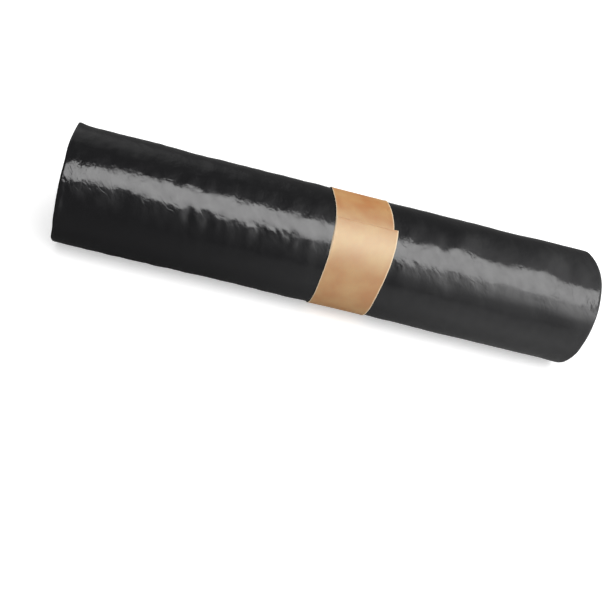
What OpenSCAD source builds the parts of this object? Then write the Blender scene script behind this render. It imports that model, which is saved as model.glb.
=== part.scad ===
// A roll of black bin bags with a kraft paper band round it, lying on its side.
// The film is one long strip wound on itself with no core: tight outside, loose and pinched
// towards the eye. The roll lies along X, +Z is up, the front is -Y, and the origin is at the
// middle of the flat spot that the roll rests on.
// Angles round the roll are measured from the top towards the back.

/* [Roll] */
// Length of the roll, which is the width of the folded bags
roll_len = 350; // [200:10:600]
// Diameter of the roll
roll_dia = 78; // [70:1:100]
// Width of the flat spot that the soft roll lies on
flat_w = 16; // [10:1:20]

/* [Turns] */
// Turns in the tight outer part, each a stack of several plies
tight_turns = 9; // [6:1:10]
// Turns in the loose middle
loose_turns = 7; // [3:1:7]
// Width of the loose middle
loose_dia = 48; // [40:1:54]
// Gap between two tight turns
tight_gap = 0.22; // [0.15:0.01:0.3]
// Gap between two loose turns
loose_gap = 0.9; // [0.4:0.1:1]
// Gap where the tight part has let go of the loose middle
slip_gap = 1.1; // [0.5:0.1:1.1]
// Mean width of the eye in the middle
eye_dia = 7; // [6:1:11]
// How much the eye is drawn out into an oval, as a share of its radius
eye_oval = 0.24; // [0:0.02:0.28]
// Where the oval's long side points, from the top towards the back
eye_oval_at = 72; // [0:1:180]
// How much the eye is pinched into a three-cornered shape, as a share of its radius
eye_pinch = 0.14; // [0:0.02:0.16]
// Where one of the three corners points, from the top towards the back
eye_pinch_at = -12; // [-60:1:60]
// How far the eye lies from the roll's axis towards the front
eye_front = 3; // [-4:0.5:4]
// How far the eye lies above the roll's axis
eye_up = 2.5; // [-4:0.5:4]
// Thickness of the film at its free end
tail_t = 0.4; // [0.3:0.05:0.6]
// Where the free end lies, from the top towards the back
tail_at = 112; // [60:1:140]

/* [Paper band] */
// Width of the paper strip
band_w = 38.5; // [20:0.5:60]
// How much wider the strip is at its visible end, which was cut askew
band_flare = 2.3; // [0:0.1:4]
// Share of a turn over which that extra width runs out
band_flare_turn = 0.22; // [0.1:0.01:0.25]
// Thickness of the paper with its paste
band_t = 0.25; // [0.2:0.05:0.4]
// Place of the strip's left edge at its visible end, from the middle of the roll
band_at = -5; // [-60:0.1:20]
// How far the strip drifts to the left before it is led back under its visible end
band_drift = 4.4; // [0:0.2:6]
// Where the visible end lies: towards the front, so it is negative
band_end_at = -25; // [-60:1:-10]
// How much the strip laps over its own start
band_lap = 36; // [20:1:45]
// Clearance between the paper and the film
band_gap = 0.06; // [0.05:0.01:0.1]

/* [Hidden] */

roll_r = roll_dia / 2;
flat_half = asin(flat_w / 2 / roll_r);       // half of the angle that the flat spot takes
axis_z = roll_r * cos(flat_half);            // height of the roll's axis over the table
steps = 56;                                  // straight steps round one turn, besides the flat
per_turn = steps + 1;
step_deg = (360 - 2 * flat_half) / steps;

// Angle of station j. Stations run down the back, over the top and down the front, and each
// turn skips the flat spot in one chord, so the flat is one face.
function station_deg(j) =
    let (turn = floor(j / per_turn), i = j - turn * per_turn)
    180 - flat_half - i * step_deg - 360 * turn;
function nearest_station(deg) = round((180 - flat_half - deg) / step_deg);

// Turns wound up at station j, counted inwards from the film's free end.
tail_station = nearest_station(tail_at);
turns = tight_turns + loose_turns;
last_station = tail_station + turns * per_turn;
function wound(j) = (station_deg(tail_station) - station_deg(j)) / 360;

// 0 before a, 1 after b, and a smooth rise between.
function rise(x, a, b) =
    let (t = min(1, max(0, (x - a) / (b - a))))
    t * t * (3 - 2 * t);

// Radius of the strip's outer side before the middle is pinched. The outermost turn keeps the
// full radius until it is past the flat spot, then dives under the free end.
tail_drop = tail_t + tight_gap;
loose_r = loose_dia / 2;
tight_pitch = (roll_r - tail_drop - loose_r) / (tight_turns - 1);
loose_pitch = (loose_r - eye_dia / 2) / loose_turns;
function outer_r(s) =
    s < 1 ? roll_r - tail_drop * rise(s, 0.86, 1)
    : s < tight_turns ? roll_r - tail_drop - tight_pitch * (s - 1)
    : loose_r - loose_pitch * (s - tight_turns);

// Gap under the strip: narrow in the tight part, one wide slip, then loose.
widest_slip = min(slip_gap, 0.7 * tight_pitch);
widest_loose = min(loose_gap, 0.5 * loose_pitch);
function gap(s) =
    let (to_slip = rise(s, tight_turns - 1.9, tight_turns - 1.2),
         to_loose = rise(s, tight_turns - 0.5, tight_turns + 0.3))
    tight_gap + (widest_slip - tight_gap) * to_slip * (1 - to_loose)
    + (widest_loose - tight_gap) * to_loose;
// The strip thins out over its last half turn, down to one fold at the eye.
thinning = 0.45 * (loose_pitch - widest_loose);
function inner_r(s) = outer_r(s + 1) + gap(s) + thinning * rise(s, turns - 0.5, turns);

// How far a radius is into the pinched middle: 0 at the tight part, 1 at the eye.
function pinch(r) = rise(loose_r * 1.1 - r, 0, loose_r * 1.1 - eye_dia / 2);
// Point of the section at radius r and angle deg, with the middle drawn out and moved aside.
function section_point(r, deg) =
    let (p = pinch(r),
         oval = eye_oval * cos(2 * (deg - eye_oval_at)),
         corners = eye_pinch * cos(3 * (deg - eye_pinch_at)),
         q = r * (1 + p * (oval + corners)))
    [q * sin(deg) - eye_front * p, axis_z + q * cos(deg) + eye_up * p];

// The strip's two sides as one closed outline: inwards along its outer side, back along its
// inner side.
function strip_outline() = [
    for (j = [tail_station : last_station]) section_point(outer_r(wound(j)), station_deg(j)),
    for (j = [last_station : -1 : tail_station]) section_point(inner_r(wound(j)), station_deg(j))
];

// Lays an outline drawn in Y and Z along X.
module along_x(from, length)
    translate([from, 0, 0]) rotate([90, 0, 90]) linear_extrude(length) children();

// Side of the paper at angle deg: round, but level where the roll lies flat, at height lift.
function paper_r(deg, radius, lift) =
    cos(deg) < 0 ? min(radius, -(axis_z - lift) / cos(deg)) : radius;
function paper_inner_r(deg) = paper_r(deg, roll_r + band_gap, band_t);

// The shallow bed that the paper has pressed into the flat spot, so that its underside is level
// with the film's.
bed_gap = 0.12;
bed_side = 1.5;
module paper_bed() {
    edge = flat_half + step_deg;
    beyond = edge + step_deg;
    bed = [
        for (d = [-edge, -flat_half, flat_half, edge])
            let (r = paper_inner_r(180 - d) - bed_gap) [r * sin(d), axis_z - r * cos(d)]
    ];
    out_y = (roll_r + 1) * sin(beyond);
    out_z = axis_z - (roll_r + 1) * cos(beyond);
    along_x(band_at - band_drift - bed_side, band_w + band_drift + 2 * bed_side)
        polygon(concat([[-out_y, -5], [-out_y, out_z]], bed, [[out_y, out_z], [out_y, -5]]));
}

module film_roll() {
    color([0.08, 0.08, 0.09])
        difference() {
            along_x(-roll_len / 2, roll_len) polygon(strip_outline());
            paper_bed();
        }
}

// The strip of paper runs from its visible end down the front, under the roll, up the back and
// over the top, and ends under its own start. Four corners at each station, joined in triangles.
first_ring = nearest_station(band_end_at);
lap_rings = round(band_lap / step_deg);
last_ring = first_ring + per_turn + lap_rings;
lap_gap = 0.03;
led_back_from = 0.87;                        // turns after which the strip is led back
led_back_to = 1.03;
function drifted(turned) =
    band_drift * (rise(turned, 0, led_back_from) - rise(turned, led_back_from, led_back_to));
function band_ring(j) =
    let (deg = station_deg(j),
         on_top = 1 - rise(j - first_ring, lap_rings + 1, lap_rings + 4),
         lift_r = on_top * (band_t + lap_gap),
         r_in = paper_inner_r(deg) + lift_r,
         r_out = paper_r(deg, roll_r + band_gap + band_t, 0) + lift_r,
         turned = (station_deg(first_ring) - deg) / 360,
         x0 = band_at - drifted(turned),
         x1 = x0 + band_w + band_flare * (1 - rise(turned, 0, band_flare_turn)))
    [
        for (c = [[x0, r_in], [x1, r_in], [x1, r_out], [x0, r_out]])
            [c[0], c[1] * sin(deg), axis_z + c[1] * cos(deg)]
    ];
module paper_band() {
    rings = last_ring - first_ring;
    points = [for (j = [first_ring : last_ring]) each band_ring(j)];
    sides = [
        for (k = [0 : rings - 1], c = [0 : 3])
            let (a = 4 * k + c, b = 4 * k + (c + 1) % 4)
            each [[a, b + 4, b], [a, a + 4, b + 4]]
    ];
    e = 4 * rings;
    color([0.78, 0.58, 0.38])
        polyhedron(points, concat(sides, [[0, 1, 2, 3], [e + 3, e + 2, e + 1, e]]));
}

film_roll();
paper_band();
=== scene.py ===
# A roll of black bin bags with a kraft paper band, lying on a pale table under soft light.
# Angles round the roll are measured from the top towards the back. They are in radians, and
# lengths in metres, unless a comment gives another unit.
import math

import bmesh
import bpy
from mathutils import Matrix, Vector, noise


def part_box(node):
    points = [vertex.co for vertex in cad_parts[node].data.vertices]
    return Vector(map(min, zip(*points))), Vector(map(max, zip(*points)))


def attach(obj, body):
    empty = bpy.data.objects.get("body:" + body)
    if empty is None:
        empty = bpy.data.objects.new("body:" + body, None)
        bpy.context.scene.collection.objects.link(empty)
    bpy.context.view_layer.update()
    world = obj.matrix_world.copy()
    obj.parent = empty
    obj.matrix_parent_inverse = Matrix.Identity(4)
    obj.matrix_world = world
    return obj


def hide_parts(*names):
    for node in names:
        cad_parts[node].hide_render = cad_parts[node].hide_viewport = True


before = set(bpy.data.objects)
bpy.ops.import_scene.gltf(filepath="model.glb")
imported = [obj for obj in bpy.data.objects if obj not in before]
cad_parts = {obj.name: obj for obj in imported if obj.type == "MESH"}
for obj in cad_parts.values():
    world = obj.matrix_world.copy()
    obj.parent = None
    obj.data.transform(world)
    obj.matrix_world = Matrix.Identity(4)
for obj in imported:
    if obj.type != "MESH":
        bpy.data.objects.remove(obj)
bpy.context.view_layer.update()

# The wound film
# One long web of black polythene, four plies folded to the roll's width, wound up with no core.
# It is tight outside, and the middle has slipped loose and been pinched. The folds of the web
# show as edges at both ends of the roll.
MM = 0.001
roll_low, roll_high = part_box("film_roll")
half_len = (roll_high.x - roll_low.x) / 2
roll_r = (roll_high.y - roll_low.y) / 2
axis_z = roll_high.z - roll_r
flat_half = math.acos(axis_z / roll_r)   # half of the angle that the flat spot takes

tail_angle = math.radians(112)           # where the web's free end lies, at the back
tail_drop = 0.6 * MM                     # how far the web dives to pass under its free end
tight_turns = 15
loose_turns = 10
film_turns = tight_turns + loose_turns
loose_r = 24 * MM                        # where the slipped middle begins
eye_r = 3.2 * MM
eye_oval, eye_oval_at = 0.24, math.radians(72)
eye_pinch, eye_pinch_at = 0.14, math.radians(-12)
eye_front, eye_up = 3 * MM, 2.5 * MM
tight_pitch = (roll_r - tail_drop - loose_r) / (tight_turns - 1)
loose_pitch = (loose_r - eye_r) / loose_turns
tight_gap = 0.2 * MM
slip_gap = 0.75 * MM                     # where the tight part has let go of the loose middle
loose_gap = 0.42 * loose_pitch
thinning = 0.4 * loose_pitch             # how much thinner the web gets at the eye

fuller_right = 0.75 * MM                 # how much the roll swells towards its right end
slack_left = 0.4 * MM                    # how much it is drawn in over the slack stretch
slip_reach = 60 * MM                     # how far in from an end its slipped edges reach
# How far each end's edges have slipped out, in mm: first at the back, then each change from
# there over the top and down the front, with the degrees from the top where it starts and stops.
left_slip = (1.95, ((-1.6, -36, 6), (-0.7, 20, 42), (0.5, 78, 100), (1.8, 100, 130)))
right_slip = (-1.2, ((2.8, -16, 28), (-0.7, 50, 80), (-0.7, 100, 120), (-1.4, 150, 180)))
crease_slant = math.radians(35)          # how far the film's creases lie off straight round
smooth_at = 127 * MM                     # how far along the web its smoothest stretch lies


def rise(x, a, b):
    """0 before a, 1 after b, and a smooth rise between."""
    t = min(1.0, max(0.0, (x - a) / (b - a)))
    return t * t * (3 - 2 * t)


def between(x, a, b, c, d):
    """0 before a and after d, 1 from b to c, and smooth between."""
    return rise(x, a, b) * (1 - rise(x, c, d))


def noise_round(angle, waves, layer, shift=0.0):
    """Noise that closes on itself round the roll. Each layer or shift gives another pattern."""
    return noise.noise((waves * math.cos(angle) + shift, waves * math.sin(angle), layer))


def web_outer_r(turns):
    """Radius of the web's outer side after that many turns inwards from its free end."""
    if turns < 1:
        return roll_r - tail_drop * rise(turns, 0.8, 1)
    if turns < tight_turns:
        return roll_r - tail_drop - tight_pitch * (turns - 1)
    return loose_r - loose_pitch * (turns - tight_turns)


def web_gap(turns, angle):
    """Gap under the web: a hair in the tight part, one wide slip, then loose and uneven."""
    to_slip = rise(turns, tight_turns - 2.2, tight_turns - 1.3)
    to_loose = rise(turns, tight_turns - 0.4, tight_turns + 0.4)
    slip = (slip_gap - tight_gap) * to_slip * (1 - to_loose)
    uneven = 1 + 0.9 * noise_round(angle, 2, 0.6 * turns)
    return (tight_gap + slip + (loose_gap - tight_gap) * to_loose) * uneven


def web_inner_r(turns, angle):
    """Radius of the web's inner side, which follows the next turn. It thins out at the eye."""
    thinned = thinning * rise(turns, film_turns - 0.6, film_turns)
    return web_outer_r(turns + 1) + web_gap(turns, angle) + thinned


def pinched(r):
    """How far a radius is into the pinched middle: 0 at the tight part, 1 at the eye."""
    edge = 1.1 * loose_r
    return rise(edge - r, 0, edge - eye_r)


def girth(x):
    """How much thicker than its mean the roll is there: slack at the left, full at the right."""
    slack = slack_left * between(x, -140 * MM, -80 * MM, -60 * MM, -8 * MM)
    return fuller_right * rise(x, 45 * MM, half_len) - slack


def turned_from(angle, at_degrees):
    """Degrees from at_degrees to angle, the short way round."""
    return (math.degrees(angle) - at_degrees + 180) % 360 - 180


def end_slip(x, angle):
    """How far the turns have slipped out of the roll's nearer end at that angle."""
    down = -turned_from(angle, 0)                    # degrees from the top down the front
    slip, changes = left_slip if x < 0 else right_slip
    for change, start, stop in changes:
        slip += change * rise(down, start, stop)
    return slip * MM * (1 - rise(half_len - abs(x), 0, slip_reach))


def on_table(angle, reach):
    """1 over the flat spot, fading to 0 at reach times the half angle that it takes."""
    return rise(-math.cos(angle), math.cos(reach * flat_half), math.cos(flat_half))


def on_roll(x, r, angle):
    """Point at radius r: the roll's weight presses it level below, and the middle is pinched."""
    r = r * (1 + (1 - on_table(angle, 2.5)) * girth(x) / roll_r)
    x += math.copysign(1, x) * end_slip(x, angle)
    below = -math.cos(angle)
    if below > math.cos(flat_half):
        r = r * math.cos(flat_half) / below
    p = pinched(r)
    oval = eye_oval * math.cos(2 * (angle - eye_oval_at))
    corners = eye_pinch * math.cos(3 * (angle - eye_pinch_at))
    crumple = 0.09 * noise_round(angle, 3, 90 * r)
    r = r * (1 + p * (oval + corners + crumple))
    y = r * math.sin(angle) - eye_front * p
    z = axis_z + r * math.cos(angle) + eye_up * p
    return Vector((x, y, z))


def flat_web(columns, stations):
    """A flat slab of web one unit thick, columns across and stations along: x and y from 0 to 1."""
    slab = bmesh.new()
    bmesh.ops.create_grid(slab, x_segments=columns, y_segments=stations, size=0.5)
    bmesh.ops.translate(slab, verts=slab.verts, vec=(0.5, 0.5, 0))
    lifted = bmesh.ops.extrude_face_region(slab, geom=slab.faces[:], use_keep_orig=True)
    top = [v for v in lifted["geom"] if isinstance(v, bmesh.types.BMVert)]
    bmesh.ops.translate(slab, verts=top, vec=(0, 0, 1))
    return slab


def finish_piece(name, shape, material):
    """Turns the faces outwards, makes the piece of shape and gives it its material."""
    bmesh.ops.recalc_face_normals(shape, faces=shape.faces)
    for face in shape.faces:
        face.smooth = True
    mesh = bpy.data.meshes.new(name)
    shape.to_mesh(mesh)
    shape.free()
    mesh.materials.append(material)
    piece = bpy.data.objects.new(name, mesh)
    bpy.context.scene.collection.objects.link(piece)
    return piece


def node(tree, kind, place, **values):
    """A shader node of that kind at place, with its settings and its input values."""
    made = tree.nodes.new(kind)
    made.location = place
    for key, value in values.items():
        if hasattr(made, key):
            setattr(made, key, value)
        else:
            made.inputs[key.replace("_", " ")].default_value = value
    return made


def worked_out(tree, place, operation, *terms):
    """The output of a Math node. Each term is a number or another node's output."""
    made = node(tree, "ShaderNodeMath", place, operation=operation)
    for socket, term in zip(made.inputs, terms):
        if isinstance(term, bpy.types.NodeSocket):
            tree.links.new(term, socket)
        else:
            socket.default_value = term
    return made.outputs["Value"]


def scaled(tree, place, value, low, high, to_low, to_high, smooth=False):
    """The output that takes value from low..high to to_low..to_high and stops at both ends."""
    kind = "SMOOTHSTEP" if smooth else "LINEAR"
    made = node(tree, "ShaderNodeMapRange", place, interpolation_type=kind,
                From_Min=low, From_Max=high, To_Min=to_low, To_Max=to_high)
    tree.links.new(value, made.inputs["Value"])
    return made.outputs["Result"]


def mixed(tree, place, share, first, second):
    """The output that mixes two colours. Each is a colour or another node's output."""
    mix = node(tree, "ShaderNodeMix", place, data_type="RGBA")
    tree.links.new(share, mix.inputs["Factor"])
    for side, colour in (("A", first), ("B", second)):
        if isinstance(colour, bpy.types.NodeSocket):
            tree.links.new(colour, mix.inputs[side])
        else:
            mix.inputs[side].default_value = (*colour, 1)
    return mix.outputs["Result"]


def slanted_noise(tree, web, place, across, along, **values):
    """Noise that lies along the film's creases. Across and along give the size of its grain."""
    lie = node(tree, "ShaderNodeMapping", (place[0] - 200, place[1]), vector_type="TEXTURE")
    lie.inputs["Rotation"].default_value = (0, 0, -crease_slant)
    lie.inputs["Scale"].default_value = (across, along, 1)
    tree.links.new(web, lie.inputs["Vector"])
    grain = node(tree, "ShaderNodeTexNoise", place, Scale=1.0, **values)
    tree.links.new(lie.outputs["Vector"], grain.inputs["Vector"])
    return grain.outputs["Fac"]


def black_film():
    """Black low density polythene: glossy, finely creased aslant, a little uneven in gloss."""
    film = bpy.data.materials.new("black_film")
    film.use_nodes = True
    tree = film.node_tree
    link = tree.links.new
    skin = tree.nodes["Principled BSDF"]
    skin.inputs["IOR"].default_value = 1.52
    skin.inputs["Specular IOR Level"].default_value = 0.65
    skin.inputs["Coat Roughness"].default_value = 0.12
    web = node(tree, "ShaderNodeUVMap", (-1300, 0), uv_map="web").outputs["UV"]

    # haze, which makes gloss and tone uneven
    haze = slanted_noise(tree, web, (-900, -200), 6 * MM, 10 * MM, Detail=3.0, Roughness=0.6)
    link(scaled(tree, (-600, -200), haze, 0.35, 0.65, 0.1, 0.19), skin.inputs["Roughness"])
    link(scaled(tree, (-600, -350), haze, 0.35, 0.65, 0.2, 0.0), skin.inputs["Coat Weight"])
    tone = mixed(tree, (-600, 300), haze, (0.0035, 0.0035, 0.004), (0.008, 0.008, 0.009))
    link(tone, skin.inputs["Base Color"])

    # fine creases, and sharp lines where the film was folded
    fine = slanted_noise(tree, web, (-900, 120), 2 * MM, 3 * MM, Detail=3.0, Roughness=0.5)
    lines = slanted_noise(tree, web, (-900, -500), 6 * MM, 13 * MM, Detail=1.0, Distortion=0.3)
    from_line = worked_out(tree, (-750, -500), "SUBTRACT", lines, 0.58)
    off_line = worked_out(tree, (-600, -500), "ABSOLUTE", from_line)
    ridge = scaled(tree, (-450, -500), off_line, 0.0, 0.05, 0.25, 0.0, smooth=True)
    folds = worked_out(tree, (-650, -100), "ADD", fine, ridge)

    # how much they show: in patches, less at the right, and least on the smooth stretch in front
    patches = node(tree, "ShaderNodeTexNoise", (-900, 600), Scale=40.0, Detail=1.0)
    link(web, patches.inputs["Vector"])
    creased = scaled(tree, (-700, 600), patches.outputs["Fac"], 0.4, 0.6, 0.35, 1.0)
    on_web = node(tree, "ShaderNodeSeparateXYZ", (-1100, 850))
    link(web, on_web.inputs["Vector"])
    calm = scaled(tree, (-900, 850), on_web.outputs["X"], 30 * MM, 70 * MM, 0.95, 0.62)
    along = worked_out(tree, (-900, 1100), "SUBTRACT", on_web.outputs["Y"], smooth_at)
    off_smooth = worked_out(tree, (-700, 1100), "ABSOLUTE", along)
    smoothed = scaled(tree, (-500, 1100), off_smooth, 7 * MM, 13 * MM, 0.35, 1.0)
    where = worked_out(tree, (-500, 700), "MULTIPLY", creased, calm)
    amount = worked_out(tree, (-350, 700), "MULTIPLY", where, smoothed)

    crease = node(tree, "ShaderNodeBump", (-300, 0), Strength=1.0, Distance=0.2 * MM)
    link(worked_out(tree, (-500, 0), "MULTIPLY", folds, amount), crease.inputs["Height"])
    link(crease.outputs["Normal"], skin.inputs["Normal"])
    return film


def wind_turns():
    """The turns under the wrap. Each one's folded edges are rounded and lie a little uneven."""
    from_end = [0, 0.2, 0.7, 2.5, 9, 40]             # columns of the web, in mm from its edge
    columns = 2 * len(from_end) - 1
    first_turn = 1.065
    steps_per_turn = 60
    turns_bm = flat_web(columns, round((film_turns - first_turn) * steps_per_turn))
    web = turns_bm.loops.layers.uv.new("web")
    for v in turns_bm.verts:
        u, along, top = v.co
        column = round(u * columns)
        left = column < len(from_end)
        from_edge = from_end[column if left else columns - column] * MM
        turns = first_turn + along * (film_turns - first_turn)
        angle = tail_angle - 2 * math.pi * turns
        outer, inner = web_outer_r(turns), web_inner_r(turns, angle)
        if from_edge == 0:
            rounded = 0.3 * min(outer - inner, 0.8 * MM)
            outer, inner = outer - rounded, inner + rounded
        wander = noise_round(angle, 1.3, 0.9 * turns, 0.0 if left else 7.3)
        slipped = pinched(outer)
        set_in = (0.5 + 0.45 * wander + slipped * (1.6 + 2.2 * wander)) * MM
        x = half_len - set_in * (1 - rise(from_edge, 0, 40 * MM)) - from_edge
        v.co = on_roll(-x if left else x, outer if top > 0.5 else inner, angle)
    crowding = 9                                     # so that each turn's edge has its own haze
    for face in turns_bm.faces:
        for corner in face.loops:
            p = corner.vert.co
            corner[web].uv = (p.x, math.hypot(p.y, p.z - axis_z) * crowding)
    return turns_bm


film_finish = black_film()
film_turns_piece = finish_piece("film_turns", wind_turns(), film_finish)
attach(film_turns_piece, "root")
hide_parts("film_roll")

# The outermost turn
# The last turn of the same web, which lies round the others and shows every crease: slanted
# ones from the winding, soft lumps of trapped air, and a waist where the paper draws it in. Its
# free end is torn along the perforation at the back and lifts a little beyond the paper.
band_low, band_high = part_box("paper_band")
wrap_turns = 1.06
wrap_len = wrap_turns * 2 * math.pi * roll_r
teeth = 0.35 * MM                        # depth of the torn perforation
rolled_in, rolled_w = 0.6 * MM, 1.5 * MM  # how deep and how wide the folded edge is rounded
waist_depth = 0.22 * MM
waist_run = 8 * MM                       # how far beyond the paper the waist runs out
lifted_turns = 0.05                      # share of a turn over which the free end lifts
paper_middle = 14 * MM                   # where along the roll the paper holds the end down
off_table = 0.02 * MM                    # the least height of the film over the table
soft_lumps = [   # where along the roll (mm) and round it (degrees), spread both ways and height (mm)
    (-176, -50, 22, 8, 1.2),
    (-175, 27, 2.5, 5, 0.9),
    (-174, -24, 4, 6, -0.35),
    (-173, -84, 1.5, 9, 0.9),
    (-166, -64, 4, 4, 0.4),
    (-157, -58, 4, 5, -0.35),
    (-155, -67, 6, 5, 0.35),
    (-137, -58, 7, 6, -0.6),
    (-129, -23, 6, 6, 0.3),
    (-112, -24, 3, 5, 0.26),
    (-104, -25, 3, 4, -0.2),
    (-101, 34, 9, 10, -0.45),
    (-101, -59, 1.6, 2.6, 0.22),
    (-99, -25, 3, 4, 0.2),
    (-98, -62, 1.6, 2.6, 0.14),
    (-95, -56, 2, 4, -0.35),
    (-90, -59, 1.6, 2.6, 0.22),
    (-87, -62, 1.7, 2.6, 0.14),
    (-83, -57, 2, 4, -0.25),
    (-77, -61, 2, 3, 0.2),
    (-70, -62, 3, 3, 0.25),
    (-60, -60, 4, 3, 0.25),
    (-50, -57, 2.5, 4.5, -0.45),
    (-33, -24, 3, 5, 0.15),
    (-28, -62, 2, 3, 0.2),
    (44, -24, 3, 5, 0.2),
    (61, -24, 4, 5, 0.3),
    (69, -26, 3, 4, -0.22),
    (79, -14, 8, 8, 1.25),
    (78, -62, 5, 5, -0.4),
    (81, -140, 12, 14, 0.5),
    (116, 34, 9, 10, -0.5),
    (133, -17, 11, 8, 0.9),
    (152, -17, 5, 7, -0.6),
    (162, -72, 12, 8, 0.8),
    (168, -24, 4, 5, -0.35),
    (172, -140, 6, 12, 0.5),
]


def film_relief(x, along, angle):
    """Height of the film's creases and lumps at that place on the unrolled web."""
    x, along = x / MM, along / MM                    # all sizes are in mm from here on
    across_crease = x * math.cos(crease_slant) - along * math.sin(crease_slant)
    across_crease += 2.5 * noise.noise((x / 17, along / 17, 4.4))
    along_crease = x * math.sin(crease_slant) + along * math.cos(crease_slant)

    # where the film is calm, pulled into close creases, settled smooth, or creased at all
    calm = 1 - 0.42 * rise(x, band_high.x / MM, band_high.x / MM + 30)
    down = -turned_from(angle, 0)                    # degrees from the top down the front
    pulled = 0.2 * between(down, 45, 52, 57, 63) + 0.08 * between(down, 25, 30, 34, 39)
    settled = 1 - 0.55 * between(down, 58, 64, 78, 90)
    on_top = 1 - rise(abs(turned_from(angle, -5)), 32, 42)
    creased = (1 - 0.6 * on_top) * rise(noise.noise((x / 20, along / 16, 2.7)), -0.35, 0.3)

    folds = 0.2 * noise.noise((across_crease / 5, along_crease / 9, 1.6))
    slanted = noise.noise((across_crease / 2.5, along_crease / 6.5, 3.1))
    slanted *= 0.06 + (2 * calm - 1) * pulled
    sharp = 0.1 * (1 - abs(noise.noise((across_crease / 6, along_crease / 12, 5.2)))) ** 6
    sharp *= 1 - rise(abs(x), 145, 160)
    pillows = 0.13 * noise.noise((x / 5, along / 4.6, 6.1))
    lumps = 0.22 * noise.noise((x / 9, along / 14, 0.5))
    broad = 0.25 * noise.noise((x / 45, along / 28, 9.2))
    height = calm * settled * (creased * (folds + slanted + sharp) + pillows + lumps) + broad
    for at_x, at_angle, spread_x, spread_round, size in soft_lumps:
        off_x = (x - at_x) / spread_x
        off_round = turned_from(angle, at_angle) * math.radians(roll_r / MM) / spread_round
        height += size * math.exp(-(off_x * off_x + off_round * off_round) / 2)
    return height * MM


def across_web(u):
    """Place along the roll at share u of the web's width. The columns lie closer at its edges."""
    inwards = 1 - abs(2 * u - 1)
    from_edge = half_len * 1.02 * inwards * inwards / (inwards + 0.02)
    return math.copysign(half_len - from_edge, u - 0.5)


def wrap_film():
    """The outermost turn: finely meshed on its outer side, creased, and torn at its free end."""
    columns, stations, cuts = 100, 55, 3
    wrap = flat_web(columns, stations)
    lying_up = [f for f in wrap.faces if all(v.co.z > 0.5 for v in f.verts)]
    top_edges = {e for f in lying_up for e in f.edges}
    bmesh.ops.subdivide_edges(wrap, edges=list(top_edges), cuts=cuts, use_grid_fill=True)
    web = wrap.loops.layers.uv.new("web")
    for face in wrap.faces:
        for corner in face.loops:
            u, along, _ = corner.vert.co
            corner[web].uv = (across_web(u), along * wrap_len)
    for v in wrap.verts:
        u, along, top = v.co
        x = across_web(u)
        if along < 1e-6:                             # the torn perforation
            along += teeth / wrap_len * (1 if round(u * columns * (cuts + 1)) % 2 else -1)
        turns = along * wrap_turns
        angle = tail_angle - 2 * math.pi * turns
        from_edge = half_len - abs(x)
        under_paper = between(x, band_low.x - waist_run, band_low.x,
                              band_high.x, band_high.x + waist_run)
        off_flat = 1 - on_table(angle, 2)
        loose = 1 - under_paper
        relief = film_relief(x, turns * 2 * math.pi * roll_r, angle) * loose * off_flat
        relief *= 1 - rise(turns, 0.9, 1)            # it lies tucked under the free end there
        waist = waist_depth * under_paper * off_flat
        lift = max(0, 1 - turns / lifted_turns) ** 2 * loose
        lift *= (0.15 + 0.8 * rise(abs(x - paper_middle), 30 * MM, 160 * MM)) * MM
        if top > 0.5:
            curled = max(0, 1 - from_edge / rolled_w)
            r = web_outer_r(turns) - rolled_in * (1 - math.sqrt(1 - curled * curled))
        else:
            r = web_inner_r(turns, angle)
        set_in = (0.15 + 0.25 * noise_round(angle, 2, 1.5, math.copysign(4, x))) * MM
        x -= math.copysign(set_in * (1 - rise(from_edge, 0, 12 * MM)), x)
        v.co = on_roll(x, r + relief - waist + lift, angle)
        v.co.z = max(v.co.z, off_table)
    return wrap


film_wrap = finish_piece("film_wrap", wrap_film(), film_finish)
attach(film_wrap, "root")
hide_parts("film_roll")

# The paper band
# One strip of brown kraft paper, wrapped once round by hand a little askew and stuck down where
# it laps over its own start. Its guillotined edges stand off the film slightly, and its colour is
# paler within 0.7 mm of them.
paper_width = 38.3 * MM
paper_flare = 2.3 * MM                   # how much wider its visible end is
paper_drift = 4.4 * MM                   # how far it drifts to the left before it is led back
paper_t = 0.25 * MM
paper_gap = 0.06 * MM
lap_rise = 1.15 * paper_t                # how far the lapping end lies above the start
side_curl = 0.16 * MM                    # how far its two sides stand off the film
end_curl = 0.12 * MM                     # and its visible end
paper_end_angle = math.radians(-24.6)
paper_lap = math.radians(37)
paper_turns = 1 + paper_lap / (2 * math.pi)
paper_len = paper_turns * 2 * math.pi * roll_r


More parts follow.
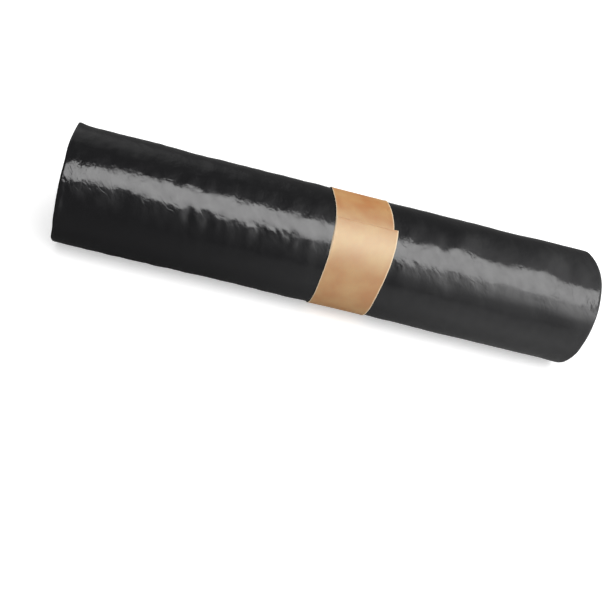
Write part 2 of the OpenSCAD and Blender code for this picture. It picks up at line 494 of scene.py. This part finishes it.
def kraft_paper():
    """Brown kraft paper: a slight sheen, cloudy, with fibres and specks, and a paler colour near its
    edges.
    """
    paper = bpy.data.materials.new("kraft_paper")
    paper.use_nodes = True
    tree = paper.node_tree
    link = tree.links.new
    skin = tree.nodes["Principled BSDF"]
    skin.inputs["IOR"].default_value = 2.1
    skin.inputs["Diffuse Roughness"].default_value = 1.0
    skin.inputs["Specular IOR Level"].default_value = 1.0
    skin.inputs["Specular Tint"].default_value = (0.97, 1.0, 0.78, 1)
    strip = node(tree, "ShaderNodeUVMap", (-1500, 0), uv_map="strip")

    cloud = node(tree, "ShaderNodeTexNoise", (-1100, 300), Scale=70.0, Detail=3.0)
    fibre_lie = node(tree, "ShaderNodeMapping", (-1300, 0))
    fibre_lie.inputs["Scale"].default_value = (2600, 500, 1)
    fibre = node(tree, "ShaderNodeTexNoise", (-1100, 0), Scale=1.0, Detail=4.0, Distortion=1.2)
    specks = node(tree, "ShaderNodeTexVoronoi", (-1100, -300), Scale=900.0)
    for texture in (cloud, fibre_lie, specks):
        link(strip.outputs["UV"], texture.inputs["Vector"])
    link(fibre_lie.outputs["Vector"], fibre.inputs["Vector"])

    cloudy = scaled(tree, (-950, 300), cloud.outputs["Fac"], 0.35, 0.65, 0.0, 1.0)
    mottled = mixed(tree, (-800, 300), cloudy, (0.465, 0.138, 0.01), (0.525, 0.25, 0.068))
    fibre_dark = scaled(tree, (-900, 0), fibre.outputs["Fac"], 0.35, 0.7, 0.0, 0.42)
    fibred = mixed(tree, (-600, 200), fibre_dark, mottled, (0.36, 0.19, 0.08))
    speck = scaled(tree, (-800, -300), specks.outputs["Distance"], 0.0, 0.12, 0.4, 0.0)
    specked = mixed(tree, (-400, 150), speck, fibred, (0.2, 0.1, 0.045))
    # a paler colour within 0.7 mm of the strip's sides, and a weaker one at its visible end
    cut = node(tree, "ShaderNodeAttribute", (-600, -100), attribute_name="pale_rim")
    edged = mixed(tree, (-200, 100), cut.outputs["Fac"], specked, (0.86, 0.72, 0.52))
    link(edged, skin.inputs["Base Color"])

    worn = scaled(tree, (-500, -250), cloud.outputs["Fac"], 0.0, 1.0, 0.54, 0.62)
    link(worn, skin.inputs["Roughness"])
    tooth = node(tree, "ShaderNodeBump", (-300, -350), Strength=0.35, Distance=0.05 * MM)
    link(fibre.outputs["Fac"], tooth.inputs["Height"])
    link(tooth.outputs["Normal"], skin.inputs["Normal"])
    return paper


def paper_side(turned):
    """Where the strip's left edge runs: it drifts left and is led back under its visible end."""
    drifted = rise(turned, 0, 0.87) - rise(turned, 0.87, 1.03)
    bent = 0.5 * rise(turned, 0, 0.05) - 0.8 * rise(turned, 0.07, 0.2) + 0.3 * rise(turned, 0.5, 0.9)
    return band_low.x + paper_drift * (1 - drifted) + (0.2 + bent) * MM


def wrap_paper():
    """The strip, laid from its visible end down the front, under, up the back and over."""
    strip = flat_web(56, 260)
    laid = strip.loops.layers.uv.new("strip")
    pale_rim = strip.verts.layers.float.new("pale_rim")
    for face in strip.faces:
        for corner in face.loops:
            u, along, _ = corner.vert.co
            corner[laid].uv = (u * paper_width, along * paper_len)
    for v in strip.verts:
        u, along, top = v.co
        turned = along * paper_turns
        angle = paper_end_angle - 2 * math.pi * turned
        from_side = min(u, 1 - u) * paper_width
        from_end = along * paper_len
        # paler colour near the sides, and weaker near the visible end
        v[pale_rim] = max(1 - rise(from_side, 0.1 * MM, 0.7 * MM),
                          0.35 - 0.35 * rise(from_end, 0.1 * MM, 0.4 * MM))
        flare = paper_flare * (1 - rise(turned, 0, 0.22))
        x = paper_side(turned) + u * (paper_width + flare)
        x += 0.12 * MM * noise.noise((u * 2, along * 40, 2.2)) * (1 if u > 0.5 else -1)
        on_top = 1 - rise(turned, (paper_turns - 1) + 0.02, (paper_turns - 1) + 0.06)
        r = roll_r + paper_gap + on_top * lap_rise + top * paper_t
        free = 1 - rise(turned, paper_turns - 0.12, paper_turns - 0.1)
        free *= 1 - on_table(angle, 1.6)
        r += 0.09 * MM * free * noise.noise((u * 2.5, along * 26, 4.4))
        r += side_curl * free * (1 - rise(from_side, 0, 2.2 * MM))
        r += end_curl * (1 - rise(from_end, 0, 5 * MM)) * (0.4 + 0.6 * u)
        below = -math.cos(angle)
        if below > 0:                                # it lies level where the roll is pressed flat
            r = min(r, (axis_z - (1 - top) * paper_t) / below)
        v.co = Vector((x, r * math.sin(angle), axis_z + r * math.cos(angle)))
    return strip


paper_band = finish_piece("kraft_band", wrap_paper(), kraft_paper())
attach(paper_band, "root")
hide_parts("paper_band")

# The table
# A plain white sweep that keeps the roll's shadow. Seen by the camera it is full white away from
# the roll. In the film's reflections it shows painted light rather than lit colour: it glows pale at
# the right, has painted shade at the left as if a dark flag stood there and painted shade close to
# the roll, and further off it gives way to the room.
table_half = 6                           # so large that its edge is never seen
table_mesh = bmesh.new()
bmesh.ops.create_grid(table_mesh, x_segments=1, y_segments=1, size=table_half)
table_white = bpy.data.materials.new("table_white")
table = finish_piece("table", table_mesh, table_white)
table_white.use_nodes = True
tree = table_white.node_tree
tree.nodes.clear()
link = tree.links.new
seen = node(tree, "ShaderNodeLightPath", (-900, 300))
place = node(tree, "ShaderNodeTexCoord", (-1300, 0)).outputs["Object"]
on_sweep = node(tree, "ShaderNodeSeparateXYZ", (-1100, 100))
link(place, on_sweep.inputs["Vector"])
far_off = node(tree, "ShaderNodeVectorMath", (-1100, -200), operation="LENGTH")
link(place, far_off.inputs[0])

clearing = scaled(tree, (-900, -200), far_off.outputs["Value"], 0.12, 0.45, 0.45, 1.0, smooth=True)
plain = worked_out(tree, (-700, -200), "MULTIPLY", clearing, seen.outputs["Is Camera Ray"])
lifted = node(tree, "ShaderNodeEmission", (-500, -200), Color=(1, 1, 1, 1))
link(plain, lifted.inputs["Strength"])
matt = node(tree, "ShaderNodeBsdfDiffuse", (-500, 0), Color=(0.85, 0.85, 0.85, 1))
top = node(tree, "ShaderNodeAddShader", (-300, -100))
link(matt.outputs["BSDF"], top.inputs[0])
link(lifted.outputs["Emission"], top.inputs[1])

# For glossy rays the table is an emitted glow, painted light: brighter to the right, with painted
# shade at the left and painted shade close to the roll
painted_flag_shade = scaled(tree, (-900, 200), on_sweep.outputs["X"], -0.16, 0.28, 0.14, 0.83, smooth=True)
beside = worked_out(tree, (-1100, 400), "ABSOLUTE", on_sweep.outputs["Y"])
shaded = scaled(tree, (-900, 450), beside, 0.01, 0.075, 0.15, 1.0, smooth=True)
near = node(tree, "ShaderNodeEmission", (-500, 300), Color=(1, 1, 1, 1))
link(worked_out(tree, (-700, 300), "MULTIPLY", painted_flag_shade, shaded), near.inputs["Strength"])
beyond = scaled(tree, (-700, 550), far_off.outputs["Value"], 0.1, 0.4, 0.0, 1.0, smooth=True)
through = node(tree, "ShaderNodeBsdfTransparent", (-500, 150))
in_film = node(tree, "ShaderNodeMixShader", (-300, 300))
link(beyond, in_film.inputs["Fac"])
link(near.outputs["Emission"], in_film.inputs[1])
link(through.outputs["BSDF"], in_film.inputs[2])

pick = node(tree, "ShaderNodeMixShader", (-100, 0))
link(seen.outputs["Is Glossy Ray"], pick.inputs["Fac"])
link(top.outputs["Shader"], pick.inputs[1])
link(in_film.outputs["Shader"], pick.inputs[2])
out = node(tree, "ShaderNodeOutputMaterial", (100, 0))
link(pick.outputs["Shader"], out.inputs["Surface"])

# Light and camera
# One long softbox in front and above, which draws the streak along the film, a soft fill from
# the right, and a dim room, brighter towards the right and a little pale in one far corner. The
# camera itself sees plain white behind the table.
roll_axis = Vector((0, 0, axis_z))


def softbox(name, angle, at_x, distance, length, width, radiance, fades):
    """A rectangular lamp along the roll at that angle round it, facing it. Each fade names the way
    across its face, where it is dimmest, where it has its full strength, and how dim it gets."""
    lamp = bpy.data.lights.new(name, "AREA")
    lamp.shape = "RECTANGLE"
    lamp.size, lamp.size_y = length, width
    lamp.energy = radiance * math.pi * length * width
    lamp.use_nodes = True
    tree = lamp.node_tree
    face = node(tree, "ShaderNodeNewGeometry", (-1100, 0))
    place = node(tree, "ShaderNodeSeparateXYZ", (-900, 0))
    tree.links.new(face.outputs["Parametric"], place.inputs["Vector"])
    shine = 1.0
    for row, (side, edge, inner, dimmest) in enumerate(fades):
        fade = scaled(tree, (-700, -300 * row), place.outputs[side], edge, inner, dimmest, 1.0,
                      smooth=True)
        shine = worked_out(tree, (-500 + 200 * row, 0), "MULTIPLY", shine, fade)
    tree.links.new(shine, tree.nodes["Emission"].inputs["Strength"])
    holder = bpy.data.objects.new(name, lamp)
    holder.location = roll_axis + Vector((at_x, math.sin(angle) * distance,
                                          math.cos(angle) * distance))
    holder.rotation_euler = (-angle, 0, 0)
    holder.visible_camera = False
    bpy.context.scene.collection.objects.link(holder)


softbox("streak_box", math.radians(-28.9), at_x=0.12, distance=0.9, length=1.04, width=0.62,
        radiance=4.15, fades=(("X", 0.0, 0.05, 0.85), ("X", 1.0, 0.25, 0.82),
                              ("Y", 1.0, 0.8, 0.85), ("Y", 0.0, 0.35, 0.85)))
softbox("fill_box", math.radians(-66), at_x=0.72, distance=0.9, length=1.4, width=0.58,
        radiance=2.0, fades=(("X", 0.0, 0.4, 0.0), ("Y", 1.0, 0.98, 0.0), ("Y", 0.0, 1.0, 0.0)))

world = bpy.data.worlds.new("studio")
bpy.context.scene.world = world
world.use_nodes = True
tree = world.node_tree
tree.nodes.clear()
link = tree.links.new
seen = node(tree, "ShaderNodeLightPath", (-600, 300))
way = node(tree, "ShaderNodeTexCoord", (-1100, 0)).outputs["Generated"]
bright_side = node(tree, "ShaderNodeVectorMath", (-900, 0), operation="DOT_PRODUCT")
bright_side.inputs[1].default_value = (1.0, -0.26, 0.35)
link(way, bright_side.inputs[0])
dim = scaled(tree, (-700, 0), bright_side.outputs["Value"], 0.14, 1.15, 0.115, 1.2, smooth=True)
far_corner = node(tree, "ShaderNodeVectorMath", (-900, -250), operation="DOT_PRODUCT")
far_corner.inputs[1].default_value = (-0.45, 0.72, 0.53)
link(way, far_corner.inputs[0])
pale = scaled(tree, (-700, -250), far_corner.outputs["Value"], 0.83, 0.96, 0.0, 0.2, smooth=True)
room = node(tree, "ShaderNodeBackground", (-300, 100), Color=(1, 1, 1, 1))
link(worked_out(tree, (-500, 0), "ADD", dim, pale), room.inputs["Strength"])
backdrop = node(tree, "ShaderNodeBackground", (-300, -100), Color=(1, 1, 1, 1), Strength=1.0)
pick = node(tree, "ShaderNodeMixShader", (-50, 0))
out = node(tree, "ShaderNodeOutputWorld", (150, 0))
link(seen.outputs["Is Camera Ray"], pick.inputs["Fac"])
link(room.outputs["Background"], pick.inputs[1])
link(backdrop.outputs["Background"], pick.inputs[2])
link(pick.outputs["Shader"], out.inputs["Surface"])

# The view is from above and in front, through a 50 mm lens, turned so that the roll runs aslant.
lens = bpy.data.cameras.new("camera")
lens.sensor_width = 36
lens.lens = 50
camera = bpy.data.objects.new("camera", lens)
camera.location = (-0.0754, -0.4730, 0.3599)
camera.rotation_euler = [math.radians(a) for a in (50.263, -14.710, 2.943)]
bpy.context.scene.collection.objects.link(camera)
bpy.context.scene.camera = camera
bpy.context.scene.view_settings.view_transform = "Standard"
